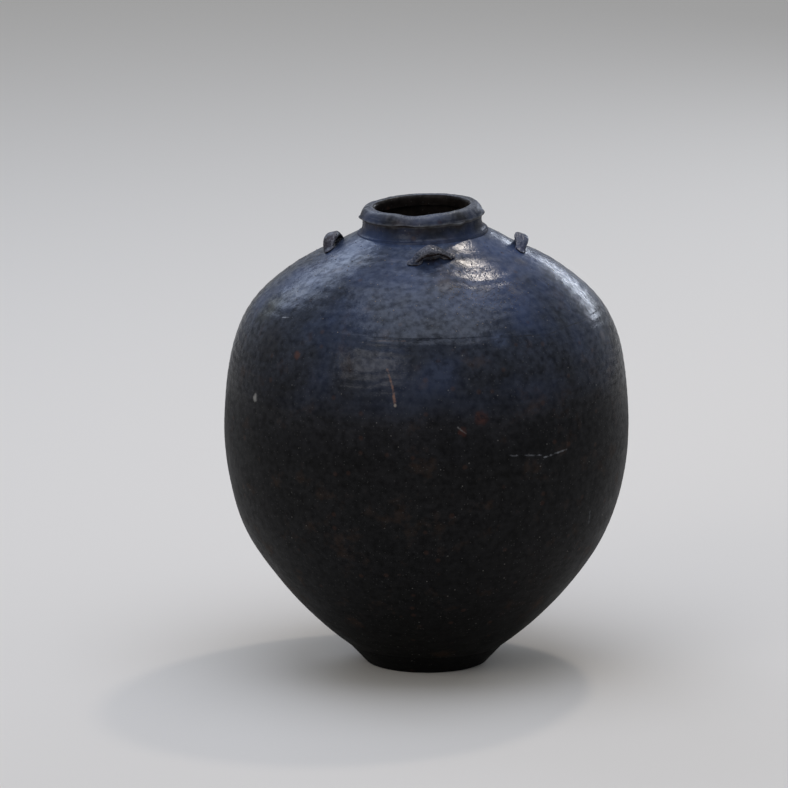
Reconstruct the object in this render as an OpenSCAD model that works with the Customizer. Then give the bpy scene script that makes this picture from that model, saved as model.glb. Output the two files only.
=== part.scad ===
// Large storage jar of dark-glazed stoneware, with a low neck and four strap lugs on its shoulder.
// The wall is built up in bands, each lapped over the one below, on a base with a turned-up edge.
// Sizes are in millimetres. The origin is the centre of the foot's underside, and +Z is up.
// Angles around the jar are counted from +X, anticlockwise seen from above. The front is -Y.

/* [Body] */
// Height of the body, from the floor up to the neck's seat
body_h = 660; // [620:5:740]
// Radius at the jar's widest place, the top of the belly band
belly_r = 303.5; // [294:0.5:315]

/* [Base] */
// Radius of the flat foot
foot_r = 89; // [78:1:100]
// Bevel around the foot's lower edge
foot_bevel = 3; // [1:0.5:6]
// Thickness of the floor
floor_t = 14; // [10:1:20]
// Height of the base's turned-up edge
base_rise = 30; // [26:1:40]
// Radius at the top of the turned-up edge, where the heel bends outwards
heel_r = 117; // [108:1:126]

/* [Wall bands] */
// Thickness of the wall
wall_t = 12; // [9:0.5:15]
// Length of the sloped lap between two bands, along the wall
lap = 10; // [5:1:15]
// Height of the heel band
heel_band_h = 80; // [65:1:100]
// Radius at the top of the heel band
flank_r = 204; // [190:1:218]
// Height of the lower band
lower_band_h = 110; // [90:1:130]
// How far the top of the lower band stays inside the jar's widest radius
hip_in = 25.5; // [14:0.5:40]
// Height of the belly band
belly_band_h = 165; // [130:1:200]
// Radius at the top of the upper band, where the shoulder's edge shows as a ridge
ridge_r = 263; // [250:1:276]

/* [Shoulder] */
// How far the shoulder's lower edge stands out from the band below
ridge_proud = 1.5; // [0.5:0.5:3]
// Height from the ridge to the bend of the shoulder
bend_h = 50; // [42:1:60]
// Radius at the bend of the shoulder
bend_r = 207; // [195:1:216]
// Height from the bend up to the level of the lugs
slope_h = 37; // [30:1:45]
// Radius of the shoulder at the level of the lugs
slope_r = 140; // [128:1:150]
// Height from the level of the lugs up to the neck
crown_h = 23; // [16:1:30]
// How far the shoulder's curve runs in under the neck's foot before its flatter seat
crown_under = 2; // [1:0.5:4]
// Slope of the flatter seat under the neck, in degrees
seat_slope = 18; // [10:1:24]

/* [Neck] */
// How far the neck stands off the jar's axis, towards -X
neck_shift = 6; // [0:0.5:8]
// Lean of the neck, in degrees: its +X side is the higher one
neck_tilt = 2.4; // [0:0.2:4]
// Radius of the neck at its waist
waist_r = 89.5; // [84:0.5:96]
// Thickness of the neck's wall at its waist
neck_wall = 15.5; // [12:0.5:18]
// How far the neck's flared foot stands out from its waist
flare_out = 7.5; // [3:0.5:10]
// Height over which the neck draws in from its foot to its waist
flare_h = 14; // [8:1:17]
// Height of the neck from its seat to the rim
neck_h = 23; // [18:1:32]
// Height of the ridge on the neck's top edge, which keys into the rim
key_h = 4; // [2:0.5:6]

/* [Rim] */
// How far the rim stands in over the neck's bore
mouth_in = 4; // [1:0.5:8]
// How far the rim's lower edge hangs out over the neck's waist
rim_out = 4.5; // [2.5:0.5:8]
// How far the lip's outer edge stays inside the neck's waist
lip_in = 4; // [2:0.5:6]
// Height of the rim
rim_h = 17; // [14:0.5:22]

/* [Lug strap] */
// Span of a lug's arch, over its two legs
lug_span = 60; // [52:1:66]
// Height of a lug's crown over the shoulder
lug_rise = 15.5; // [13:0.5:20]
// Width of a lug's strap, down the slope
lug_w = 14; // [10:1:20]
// Thickness of a lug's strap
lug_t = 5.5; // [4:0.5:8]
// Lean of a lug's crown from the slope towards the level, in degrees
lug_lean = 8; // [0:1:15]
// Radius of the thumbed pad at each end of the strap
pad_r = 9.5; // [8:0.5:12]
// Height of the pad over the shoulder
pad_h = 2.5; // [1.5:0.5:4]

/* [Lug places] */
// Angle of the front lug around the jar
front_angle = -87; // [-110:1:-70]
// Distance of the front lug from the axis
front_lug_r = 128; // [124:1:155]
// Turn of the front lug on its seat, anticlockwise seen from outside
front_twist = 13; // [-20:1:20]
// Angle of the right lug around the jar
right_angle = 0; // [-15:1:15]
// Distance of the right lug from the axis
right_lug_r = 140; // [124:1:155]
// Turn of the right lug on its seat, anticlockwise seen from outside
right_twist = 0; // [-20:1:20]
// Angle of the back lug around the jar
back_angle = 85; // [70:1:110]
// Distance of the back lug from the axis
back_lug_r = 134; // [124:1:155]
// Turn of the back lug on its seat, anticlockwise seen from outside
back_twist = 4; // [-20:1:20]
// Angle of the left lug around the jar
left_angle = 176; // [160:1:195]
// Distance of the left lug from the axis
left_lug_r = 140; // [124:1:155]
// Turn of the left lug on its seat, anticlockwise seen from outside
left_twist = -14; // [-20:1:20]

/* [Hidden] */
$fn = 128;

// Points of the curved wall in one section between two stations
section_steps = 8;
// Corner rounding of the rim
soft_edge = 2;
// Height of the upright edge below the neck's flare
foot_lip = 1.5;
// How far the neck and the lugs run on into the shoulder before its surface cuts them
sink = 16;
// How far a cutting cylinder runs past what it cuts
past = 60;
// Clay colours, from the dry foot to the glossy shoulder
foot_clay = "#1a1817";
wall_glaze = "#211f20";
belly_glaze = "#27262a";
upper_glaze = "#2d2f38";
shoulder_glaze = "#3a3f4c";
mouth_glaze = "#4a4d59";

// Radii that follow from the belly and from the neck's waist
hip_r = belly_r - hip_in;
neck_bore_r = waist_r - neck_wall;
flare_r = waist_r + flare_out;
crown_r = flare_r - crown_under;
mouth_r = neck_bore_r - mouth_in;
rim_r = waist_r + rim_out;
lip_r = waist_r - lip_in;

// Heights of the joints between the bands. The upper band takes what is left of the body's height.
heel_z = base_rise;
flank_z = heel_z + heel_band_h;
hip_z = flank_z + lower_band_h;
belly_z = hip_z + belly_band_h;
crown_z = body_h;
slope_z = crown_z - crown_h;
bend_z = slope_z - slope_h;
ridge_z = bend_z - bend_h;

// Stations of the outer wall, as radius and height, from the foot up
STATIONS = [[foot_r, 0], [heel_r, heel_z], [flank_r, flank_z], [hip_r, hip_z], [belly_r, belly_z],
            [ridge_r, ridge_z], [bend_r, bend_z], [slope_r, slope_z], [crown_r, crown_z]];
FOOT = 0;
HEEL = 1;
FLANK = 2;
HIP = 3;
BELLY = 4;
RIDGE = 5;
CROWN = len(STATIONS) - 1;

// The straight line between two stations: its length and its direction
function chord(i) = norm(STATIONS[i + 1] - STATIONS[i]);
function heading(i) = (STATIONS[i + 1] - STATIONS[i]) / chord(i);

// Direction of the wall at a station, where the shorter neighbour counts for more.
// The curve starts at the heel, which is a true bend, and ends at the crown.
function wall_dir(i) =
    i == HEEL ? 2 * heading(HEEL) - wall_dir(FLANK)
    : i == CROWN ? heading(CROWN - 1)
    : (heading(i - 1) * chord(i) + heading(i) * chord(i - 1)) / (chord(i - 1) + chord(i));

// Place on the outer wall: s is a station's number plus the share of the way to the next one
function outer_at(s) =
    let (i = min(floor(s), CROWN - 1), u = s - i, a = STATIONS[i], b = STATIONS[i + 1])
    i == FOOT ? a + (b - a) * u
    : a * (2 * pow(u, 3) - 3 * pow(u, 2) + 1) + b * (3 * pow(u, 2) - 2 * pow(u, 3))
      + chord(i) * (wall_dir(i) * (pow(u, 3) - 2 * pow(u, 2) + u)
                    + wall_dir(i + 1) * (pow(u, 3) - pow(u, 2)));

// Place on the inner wall, one wall thickness behind the outer wall
function outward(s) =
    let (i = min(floor(s), CROWN - 1), near = 0.01, a = outer_at(max(s - near, i)),
         b = outer_at(min(s + near, i + 1)), d = (b - a) / norm(b - a))
    [d[1], -d[0]];
function inner_at(s) = outer_at(s) - wall_t * outward(s);

// Even steps from one place on the wall to another
function outer_run(from, to) =
    let (n = ceil((to - from) * section_steps))
    [for (k = [0 : n]) outer_at(from + (to - from) * k / n)];
function inner_run(from, to) =
    let (n = ceil((to - from) * section_steps))
    [for (k = [0 : n]) inner_at(from + (to - from) * k / n)];

// Upper end of a lap: the joint runs from the outer wall at the station up to here on the inner wall
function lap_top(i) = i + lap / chord(i);

// Points in reverse order
function back(points) = [for (k = [len(points) - 1 : -1 : 0]) points[k]];

// The seat inside the crown is a plain cone, which would meet the axis at its tip
seat_tip = [0, crown_z + crown_r * tan(seat_slope)];
// Inner edge of the shoulder's section, well inside the neck's bore
seat_end_r = neck_bore_r - neck_shift - sink;
seat_end = [seat_end_r, crown_z + (crown_r - seat_end_r) * tan(seat_slope)];
seat_out = [sin(seat_slope), cos(seat_slope)];

// A closed ring around the axis, with the given section
module turned(points) {
    rotate_extrude() polygon(points);
}

// One band of the wall, from one station to the next, with a sloped lap at each end
module wall_band(i) {
    turned(concat(outer_run(i, i + 1), back(inner_run(lap_top(i), lap_top(i + 1)))));
}

// The shoulder's outer shape, filled up to the axis: it cuts the neck and the lugs to their seats
module shoulder_form() {
    turned(concat([[0, ridge_z]], outer_run(RIDGE, CROWN), [seat_tip]));
}

// Puts its children on the axis of the leaning neck, with the crown's level at height 0
module on_neck_axis() {
    translate([-neck_shift, 0, crown_z]) rotate([0, -neck_tilt, 0]) children();
}

// Height of the shoulder's surface at a distance from the axis
function shoulder_z(r) = lookup(r, back(outer_run(RIDGE, CROWN)));
// Slope of the shoulder there, in degrees below the level
function shoulder_slope(r) = atan2(shoulder_z(r - lug_w / 2) - shoulder_z(r + lug_w / 2), lug_w);

// Puts its children on the shoulder, where x runs across the slope, y up the slope and z outwards
module on_shoulder(angle, r) {
    rotate([0, 0, angle])
        translate([r, 0, shoulder_z(r)])
            rotate([0, shoulder_slope(r), 0])
                rotate([0, 0, 90]) children();
}

// Flat floor with a turned-up edge. The edge is sloped to take the heel band's lap.
module base() {
    outside = [[0, 0], [foot_r - foot_bevel, 0],
               outer_at(foot_bevel / chord(FOOT)), STATIONS[HEEL]];
    // The inner wall runs parallel to the turned-up edge, from its bend down to the floor
    bend = STATIONS[HEEL] - wall_t * [heading(FOOT)[1], -heading(FOOT)[0]];
    corner_r = bend[0] - (bend[1] - floor_t) * heading(FOOT)[0] / heading(FOOT)[1];
    inside = [inner_at(lap_top(HEEL)), bend, [corner_r, floor_t], [0, floor_t]];
    color(foot_clay) turned(concat(outside, inside));
}

module heel_band() {
    color(wall_glaze) wall_band(HEEL);
}

module lower_band() {
    color(wall_glaze) wall_band(FLANK);
}

module belly_band() {
    color(belly_glaze) wall_band(HIP);
}

module upper_band() {
    color(upper_glaze) wall_band(BELLY);
}

// Domed top of the wall. Its lower edge stands a little proud, and its hole follows the neck.
module shoulder() {
    ridge = outer_at(RIDGE) + ridge_proud * outward(RIDGE);
    outside = concat([STATIONS[RIDGE], ridge], outer_run(RIDGE + 1 / section_steps, CROWN));
    inner_end = seat_end - wall_t * seat_out;
    inner_crown = STATIONS[CROWN] - wall_t * (seat_out + outward(CROWN)) / norm(seat_out + outward(CROWN));
    inside = concat(inner_run(lap_top(RIDGE), CROWN - 1 / section_steps), [inner_crown]);
    color(shoulder_glaze)
        difference() {
            turned(concat(outside, [seat_end, inner_end], back(inside)));
            on_neck_axis() translate([0, 0, -past]) cylinder(r = neck_bore_r, h = 2 * past);
        }
}

// Middle of the neck's wall at its top, where the key stands
key_r = (neck_bore_r + waist_r) / 2;

// Low neck, hollow-cheeked where it draws in from its foot. Its top edge keys into the rim.
module neck() {
    draw_in = flare_r - waist_r;
    flare = [for (a = [0 : 15 : 90])
             [flare_r - draw_in * sin(a), foot_lip + flare_h - flare_h * cos(a)]];
    section = concat([[neck_bore_r, -sink], [flare_r, -sink]], flare,
                     [[waist_r, neck_h], [key_r, neck_h + key_h], [neck_bore_r, neck_h]]);
    color(upper_glaze)
        difference() {
            on_neck_axis() turned(section);
            shoulder_form();
        }
}

// Rolled rim, widest at its lower edge, with a flat rounded lip. It sits over the neck's key.
module rim() {
    top = neck_h + rim_h;
    underside = [[neck_bore_r, neck_h], [key_r, neck_h + key_h], [waist_r, neck_h]];
    outside = [[rim_r - soft_edge, neck_h], [rim_r, neck_h + soft_edge],
               [rim_r - soft_edge, neck_h + 3 * soft_edge], [lip_r + soft_edge, top - 3 * soft_edge],
               [lip_r, top - soft_edge], [lip_r - 2 * soft_edge, top]];
    inside = [[mouth_r + 2 * soft_edge, top], [mouth_r, top - soft_edge], [mouth_r, neck_h]];
    color(mouth_glaze) on_neck_axis() turned(concat(underside, outside, inside));
}

// Arched strap on the shoulder, with a thumbed pad at each end. Its hole runs up the slope.
module lug(angle, r, twist) {
    arch_r = (pow(lug_span / 2, 2) + pow(lug_rise, 2)) / (2 * lug_rise);
    inner_r = arch_r - lug_t;
    half_w = lug_w / 2;
    strap_edge = lug_t / 4;
    strap = [[inner_r, strap_edge - half_w], [inner_r + strap_edge, -half_w],
             [arch_r - strap_edge, -half_w], [arch_r, 2 * strap_edge - half_w],
             [arch_r, half_w - 2 * strap_edge], [arch_r - strap_edge, half_w],
             [inner_r + strap_edge, half_w], [inner_r, half_w - strap_edge]];
    difference() {
        on_shoulder(angle, r) rotate([0, 0, twist]) {
            rotate([-lug_lean, 0, 0])
                translate([0, 0, lug_rise - arch_r])
                    rotate([90, 0, 0]) turned(strap);
            for (side = [-1, 1])
                translate([side * (lug_span / 2 - lug_t), 0, -sink])
                    cylinder(r = pad_r, h = sink + pad_h);
        }
        shoulder_form();
    }
}

module lug_front() {
    color(shoulder_glaze) lug(front_angle, front_lug_r, front_twist);
}

module lug_right() {
    color(shoulder_glaze) lug(right_angle, right_lug_r, right_twist);
}

module lug_back() {
    color(shoulder_glaze) lug(back_angle, back_lug_r, back_twist);
}

module lug_left() {
    color(shoulder_glaze) lug(left_angle, left_lug_r, left_twist);
}

base();
heel_band();
lower_band();
belly_band();
upper_band();
shoulder();
neck();
rim();
lug_front();
lug_right();
lug_back();
lug_left();
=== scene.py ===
"""Large four-lug storage jar of dark-glazed stoneware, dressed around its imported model."""

import logging
import math
from dataclasses import dataclass
from enum import Enum

import bmesh
import bpy
import numpy as np
from mathutils import Euler, Matrix, Vector, noise


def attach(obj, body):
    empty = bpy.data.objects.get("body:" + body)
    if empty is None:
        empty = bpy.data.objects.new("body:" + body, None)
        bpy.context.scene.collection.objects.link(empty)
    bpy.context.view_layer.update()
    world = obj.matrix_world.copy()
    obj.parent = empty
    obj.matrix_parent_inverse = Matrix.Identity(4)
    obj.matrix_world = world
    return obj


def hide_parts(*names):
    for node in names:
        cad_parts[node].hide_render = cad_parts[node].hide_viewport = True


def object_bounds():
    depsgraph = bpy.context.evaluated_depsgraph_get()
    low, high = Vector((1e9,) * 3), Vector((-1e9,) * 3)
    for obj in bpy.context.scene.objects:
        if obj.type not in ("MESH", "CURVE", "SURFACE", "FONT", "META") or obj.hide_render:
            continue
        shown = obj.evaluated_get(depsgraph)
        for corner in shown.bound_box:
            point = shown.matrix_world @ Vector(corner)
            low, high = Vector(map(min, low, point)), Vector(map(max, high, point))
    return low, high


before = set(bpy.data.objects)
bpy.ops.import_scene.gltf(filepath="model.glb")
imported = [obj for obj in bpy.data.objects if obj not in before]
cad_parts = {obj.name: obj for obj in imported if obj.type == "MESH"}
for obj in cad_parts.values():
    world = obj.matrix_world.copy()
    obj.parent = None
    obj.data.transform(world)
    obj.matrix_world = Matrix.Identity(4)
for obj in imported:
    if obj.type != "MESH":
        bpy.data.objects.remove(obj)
CAD_BOX = [list(corner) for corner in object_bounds()]

MM = 0.001
LOG = logging.getLogger("jar")

# Axis of the neck: it stands 6 mm off the jar's axis and leans 2.4 degrees towards -X
NECK_SHIFT = (-6 * MM, 0.0, 660 * MM)
NECK_LEAN = math.radians(-2.4)
# Middle of the jar, from which dents are pushed in
HEART = (0.0, 0.0, 330 * MM)


class Slot(Enum):
    """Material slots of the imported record."""

    FOOT = "foot_glaze"
    WALL = "wall_glaze"
    SHOULDER = "shoulder_glaze"
    MOUTH = "mouth_glaze"
    LUG = "lug_glaze"


def linear(code: str) -> tuple[float, float, float, float]:
    """Turns an sRGB hex value into a linear colour.

    Args:
        code: Six hex digits after a hash sign.

    Returns:
        Linear red, green, blue and an alpha of 1.
    """
    parts = [int(code[i:i + 2], 16) / 255 for i in (1, 3, 5)]
    curve = [c / 12.92 if c <= 0.04045 else ((c + 0.055) / 1.055) ** 2.4 for c in parts]
    return (curve[0], curve[1], curve[2], 1.0)


def add(tree: bpy.types.NodeTree, kind: str, feeds: dict | None = None, out: int | str = 0,
        **settings: object) -> bpy.types.NodeSocket:
    """Adds a node with its settings and links.

    Args:
        tree: The node tree that gets the node.
        kind: Blender's name for the node's type.
        feeds: Sockets or values for the inputs, by index or name.
        out: The output to hand back, by index or name.
        settings: Properties of the node; stops fills a colour ramp with (place, hex) pairs.

    Returns:
        The chosen output, or the first input of a node without outputs.
    """
    node = tree.nodes.new(kind)
    for name, value in settings.items():
        if name == "stops":
            elements = node.color_ramp.elements
            while len(elements) < len(value):
                elements.new(1.0)
            for element, (place, code) in zip(elements, value):
                element.position, element.color = place, linear(code)
        elif name == "captures":
            node.capture_items.new(*value)
        else:
            setattr(node, name, value)
    for key, value in (feeds or {}).items():
        if isinstance(value, bpy.types.NodeSocket):
            tree.links.new(value, node.inputs[key])
        else:
            node.inputs[key].default_value = value
    return node.outputs[out] if len(node.outputs) else node.inputs[0]


def laid(tree: bpy.types.NodeTree, colour: bpy.types.NodeSocket, cover: bpy.types.NodeSocket,
         code: str) -> bpy.types.NodeSocket:
    """Lays one colour over another.

    Args:
        tree: The material's nodes.
        colour: The colour below.
        cover: How much of it is covered, from 0 to 1.
        code: sRGB hex value of the colour above.

    Returns:
        The colour that shows.
    """
    return add(tree, "ShaderNodeMix", {0: cover, 6: colour, 7: linear(code)}, 2, data_type="RGBA")


def on_wall(angle: float, height: float, radius: float) -> Vector:
    """Gives a place on the wall in metres.

    Args:
        angle: Degrees around the jar from +X.
        height: Height in mm.
        radius: Distance from the axis in mm.

    Returns:
        The point.
    """
    turn = math.radians(angle)
    return Vector((radius * math.cos(turn), radius * math.sin(turn), height)) * MM


# ---- Finishes


@dataclass(frozen=True)
class Mark:
    """A stain, chip or scratch, or a painted reflection or shade: a rounded place, or a line when
    it has an end.

    Args:
        start: Angle, height and radius of the mark, or of its one end.
        size: Radius of the place, or half the line's width, in mm.
        colour: sRGB hex value.
        share: How much of the glaze it covers.
        end: The line's other end, if it is a line.
    """

    start: tuple[float, float, float]
    size: float
    colour: str
    share: float
    end: tuple[float, float, float] | None = None


# Wear, grit and stains of the body, placed as on the real wall, with painted reflections and
# painted shade among them
BODY_MARKS_AND_PAINTED_LIGHT = (
    Mark((-81.5, 613, 187), 20, "#6e6760", 0.40),
    Mark((-65.4, 609, 193), 21, "#706a63", 0.42),
    Mark((-49.2, 603, 203), 20, "#6b6763", 0.35),
    Mark((-148.5, 439, 300), 8, "#8e8c88", 0.80),
    Mark((-74.5, 436, 300), 15, "#4e2a20", 0.55),
    Mark((-80.0, 418, 302), 9, "#49281f", 0.45),
    Mark((-133.0, 515, 283), 9, "#5a382c", 0.55),
    Mark((-158.6, 566, 249), 42, "#4a4c3c", 0.50),
    Mark((-150.0, 590, 225), 34, "#4d4a3a", 0.35),
    # Painted reflections of a strip of light: pale streaks down the right of the shoulder
    Mark((-20.4, 574, 240), 13, "#77798c", 0.35),
    Mark((-22.8, 546, 266), 16, "#6f6f7c", 0.40),
    Mark((-19.9, 521, 280), 12, "#6a6568", 0.35),
    Mark((-27.1, 628, 158), 18, "#3c3129", 0.45),
    # Blue-grey patches, partly ash and partly painted sky reflection
    Mark((-66.0, 546, 266), 20, "#53607d", 0.35),
    Mark((-85.9, 509, 285), 40, "#333d55", 0.35),
    Mark((-147.5, 525, 278), 40, "#1d1917", 0.55),
    # Pale blue-grey patch on the left of the shoulder, partly ash and partly painted sky reflection
    Mark((-146.2, 633, 147), 38, "#6a7688", 0.30),
    Mark((-102.0, 508, 285), 2.4, "#6b5148", 0.90, (-100.0, 482, 293)),
    Mark((-100.0, 482, 293), 2.8, "#75594e", 0.95, (-99.3, 461, 297)),
    Mark((-99.2, 457, 298), 3.2, "#8b8177", 0.85),
    Mark((-81.3, 424, 301), 1.6, "#6a6866", 0.60, (-79.0, 414, 302)),
    Mark((-66.3, 377, 304), 1.6, "#6c6d72", 0.70, (-56.0, 372, 304)),
    Mark((-55.0, 368, 304), 1.8, "#7a7c80", 0.70, (-46.9, 374, 304)),
    Mark((-146.8, 557, 257), 1.3, "#8f9298", 0.75, (-142.0, 560, 254)),
    # Painted shade in the hollow under each lug, in the dark brown of bare clay
    Mark((-87.0, 641, 128), 15, "#1c110c", 0.95),
    Mark((0.0, 637, 140), 15, "#1c110c", 0.95),
    Mark((85.0, 639, 134), 15, "#1c110c", 0.95),
    Mark((176.0, 637, 140), 15, "#1c110c", 0.95),
    Mark((-33.6, 265, 293), 3.0, "#4a4c4f", 0.60, (-32.6, 247, 289)),
    Mark((-108.0, 545, 265), 1.6, "#5d4a40", 0.45, (-97.0, 547, 264)),
    # Dark line along the joint below the shoulder's ridge, with painted shade under the ridge
    Mark((-76.0, 541, 266), 1.5, "#121216", 0.55, (-62.0, 547, 264)),
    Mark((-62.0, 547, 264), 1.8, "#101014", 0.65, (-48.0, 542, 266)),
    Mark((-48.0, 542, 266), 1.5, "#141318", 0.60, (-33.0, 548, 263)),
    Mark((-33.0, 548, 263), 1.8, "#101014", 0.60, (-17.0, 543, 265)),
)


@dataclass(frozen=True)
class Glaze:
    """Iron-rich ash glaze on stoneware: brushed or dipped slip and ash, fired to a dark skin.

    It is nearly black where it lies thin and matte on the lower wall, and blue-grey with a
    worn gloss on the shoulder, where ash from the kiln melted into it; part of that blue-grey
    is painted sky reflection.

    Args:
        name: Name of the material.
        heights: Colours by height, as (mm, sRGB hex) pairs from the floor up.
        brown: Colour of the rusty blotches, where the body shows through.
        bloom_and_sky_sheen: Colour of the pale film on the shoulder, partly ash and partly painted
            sky reflection.
        rust: How much of the surface the blotches take, from 0 to 1.
        matte: Roughness of the glaze under its gloss.
        gloss: Gloss weight of the foot, the belly and the shoulder.
        grain: Height of the fine pitting, in mm.
        marks: Stains and scratches, with painted reflections and shade among them.
        worn: Colour of worn edges, or an empty text for none.
        under: Colour of painted shade on what faces down, or an empty text for none.
    """

    name: str
    heights: tuple[tuple[float, str], ...]
    brown: str = "#38291f"
    bloom_and_sky_sheen: str = "#3b4d74"
    rust: float = 0.5
    matte: float = 0.62
    gloss: tuple[float, float, float] = (0.0, 0.10, 0.75)
    grain: float = 0.5
    marks: tuple[Mark, ...] = ()
    worn: str = ""
    under: str = ""

    def mark_share(self, tree: bpy.types.NodeTree, place: bpy.types.NodeSocket,
                   fray: bpy.types.NodeSocket, mark: Mark) -> bpy.types.NodeSocket:
        """Gives how much a mark covers at each place.

        Args:
            tree: The material's nodes.
            place: Object coordinates.
            fray: Noise that frays the mark's edge.
            mark: The mark.

        Returns:
            A share from 0 to 1.
        """
        start = on_wall(*mark.start)
        facing = (start - Vector(HEART)).normalized()
        near: bpy.types.NodeSocket | Vector = start
        if mark.end:
            line = on_wall(*mark.end) - start
            away = add(tree, "ShaderNodeVectorMath", {0: place, 1: start}, operation="SUBTRACT")
            along = add(tree, "ShaderNodeVectorMath", {0: away, 1: line / line.length_squared},
                        "Value", operation="DOT_PRODUCT")
            along = add(tree, "ShaderNodeClamp", {0: along})
            near = add(tree, "ShaderNodeVectorMath", {0: line, 3: along}, operation="SCALE")
            near = add(tree, "ShaderNodeVectorMath", {0: near, 1: start}, operation="ADD")
        # Dents set the skin back a little, so depth counts for a fifth of a distance across it
        gap = add(tree, "ShaderNodeVectorMath", {0: place, 1: near}, operation="SUBTRACT")
        deep = add(tree, "ShaderNodeVectorMath", {0: gap, 1: facing * 0.8}, "Value",
                   operation="DOT_PRODUCT")
        deep = add(tree, "ShaderNodeVectorMath", {0: facing, 3: deep}, operation="SCALE")
        gap = add(tree, "ShaderNodeVectorMath", {0: gap, 1: deep}, operation="SUBTRACT")
        gap = add(tree, "ShaderNodeVectorMath", {0: gap}, "Value", operation="LENGTH")
        size = mark.size * MM
        gap = add(tree, "ShaderNodeMath", {0: fray, 1: 1.5 * size, 2: gap},
                  operation="MULTIPLY_ADD")
        return add(tree, "ShaderNodeMapRange", {0: gap, 1: 1.75 * size, 2: 1.05 * size, 3: 0.0,
                                                4: mark.share}, interpolation_type="SMOOTHSTEP")

    def material(self) -> bpy.types.Material:
        """Builds the glaze's nodes.

        Returns:
            The material.
        """
        made = bpy.data.materials.new(self.name)
        made.use_nodes = True
        tree = made.node_tree
        tree.nodes.clear()
        place = add(tree, "ShaderNodeTexCoord", out="Object")
        z = add(tree, "ShaderNodeSeparateXYZ", {0: place}, "Z")
        # Clouds 110 mm across, blotches of 45 mm, pitting of 9 mm and a grain of 3 mm, which is
        # coarser than the real glaze's, to show in the render
        cloud = add(tree, "ShaderNodeTexNoise", {"Vector": place, "Scale": 9.0, "Detail": 5.0})
        blotch = add(tree, "ShaderNodeTexNoise", {"Vector": place, "Scale": 22.0, "Detail": 7.0,
                                                  "Roughness": 0.62})
        pit = add(tree, "ShaderNodeTexNoise", {"Vector": place, "Scale": 110.0, "Detail": 5.0})
        grain = add(tree, "ShaderNodeTexNoise", {"Vector": place, "Scale": 420.0, "Detail": 2.0})
        # Throwing rings: noise drawn out around the jar, 6 to 12 mm apart
        flat = add(tree, "ShaderNodeVectorMath", {0: place, 1: (7.0, 7.0, 150.0)},
                   operation="MULTIPLY")
        ring = add(tree, "ShaderNodeTexNoise", {"Vector": flat, "Scale": 1.0, "Detail": 3.0})
        # The height is shifted by the clouds, so that the colours' borders waver
        shift = add(tree, "ShaderNodeMath", {0: cloud, 1: 0.09, 2: z}, operation="MULTIPLY_ADD")
        top = self.heights[-1][0] * MM
        share = add(tree, "ShaderNodeMapRange", {0: shift, 1: 0.045, 2: top + 0.045})
        stops = [(height * MM / top, code) for height, code in self.heights]
        colour = add(tree, "ShaderNodeValToRGB", {0: share}, stops=stops)
        # Light and dark clouds
        value = add(tree, "ShaderNodeMapRange", {0: blotch, 1: 0.32, 2: 0.68, 3: 0.62, 4: 1.42})
        tone = add(tree, "ShaderNodeMapRange", {0: ring, 1: 0.3, 2: 0.7, 3: 0.88, 4: 1.13})
        value = add(tree, "ShaderNodeMath", {0: value, 1: tone}, operation="MULTIPLY")
        fleck = add(tree, "ShaderNodeMapRange", {0: pit, 1: 0.3, 2: 0.7, 3: 0.6, 4: 1.45})
        value = add(tree, "ShaderNodeMath", {0: value, 1: fleck}, operation="MULTIPLY")
        colour = add(tree, "ShaderNodeVectorMath", {0: colour, 3: value}, operation="SCALE")
        # Rusty blotches, and a pale blue film up the shoulder that is partly ash and partly painted
        # sky reflection
        rust = add(tree, "ShaderNodeMapRange", {0: blotch, 1: 0.66 - 0.18 * self.rust, 2: 0.80,
                                                3: 0.0, 4: 0.75})
        colour = laid(tree, colour, rust, self.brown)
        up = add(tree, "ShaderNodeMapRange", {0: z, 1: 0.43, 2: 0.62, 3: 0.0, 4: 0.55})
        bloom_and_sheen_share = add(tree, "ShaderNodeMapRange", {0: cloud, 1: 0.46, 2: 0.70})
        bloom_and_sheen_share = add(tree, "ShaderNodeMath", {0: bloom_and_sheen_share, 1: up}, operation="MULTIPLY")
        colour = laid(tree, colour, bloom_and_sheen_share, self.bloom_and_sky_sheen)
        # Specks of ash and dust, 1 to 2 mm
        for scale, limit, rare, code, cover in ((230.0, 0.24, 0.66, "#5c5b59", 0.30),
                                                (95.0, 0.13, 0.90, "#7d7a75", 0.40),
                                                (52.0, 0.26, 0.84, "#432c22", 0.30)):
            cell = add(tree, "ShaderNodeTexVoronoi", {"Vector": place, "Scale": scale})
            pick = add(tree, "ShaderNodeSeparateXYZ", {0: cell.node.outputs["Color"]})
            pick = add(tree, "ShaderNodeMath", {0: pick, 1: rare}, operation="GREATER_THAN")
            dot = add(tree, "ShaderNodeMapRange", {0: cell, 1: limit, 2: limit * 0.5, 3: 0.0,
                                                   4: cover})
            dot = add(tree, "ShaderNodeMath", {0: dot, 1: pick}, operation="MULTIPLY")
            colour = laid(tree, colour, dot, code)
        for mark in self.marks:
            cover = self.mark_share(tree, place, pit if mark.end is None else grain, mark)
            if mark.size > 12 or mark.end:
                least = 0.0 if mark.end else 0.25
                patchy = add(tree, "ShaderNodeMapRange", {0: pit, 1: 0.38, 2: 0.6, 3: least,
                                                          4: 1.0})
                cover = add(tree, "ShaderNodeMath", {0: cover, 1: patchy}, operation="MULTIPLY")
            colour = laid(tree, colour, cover, mark.colour)
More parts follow.
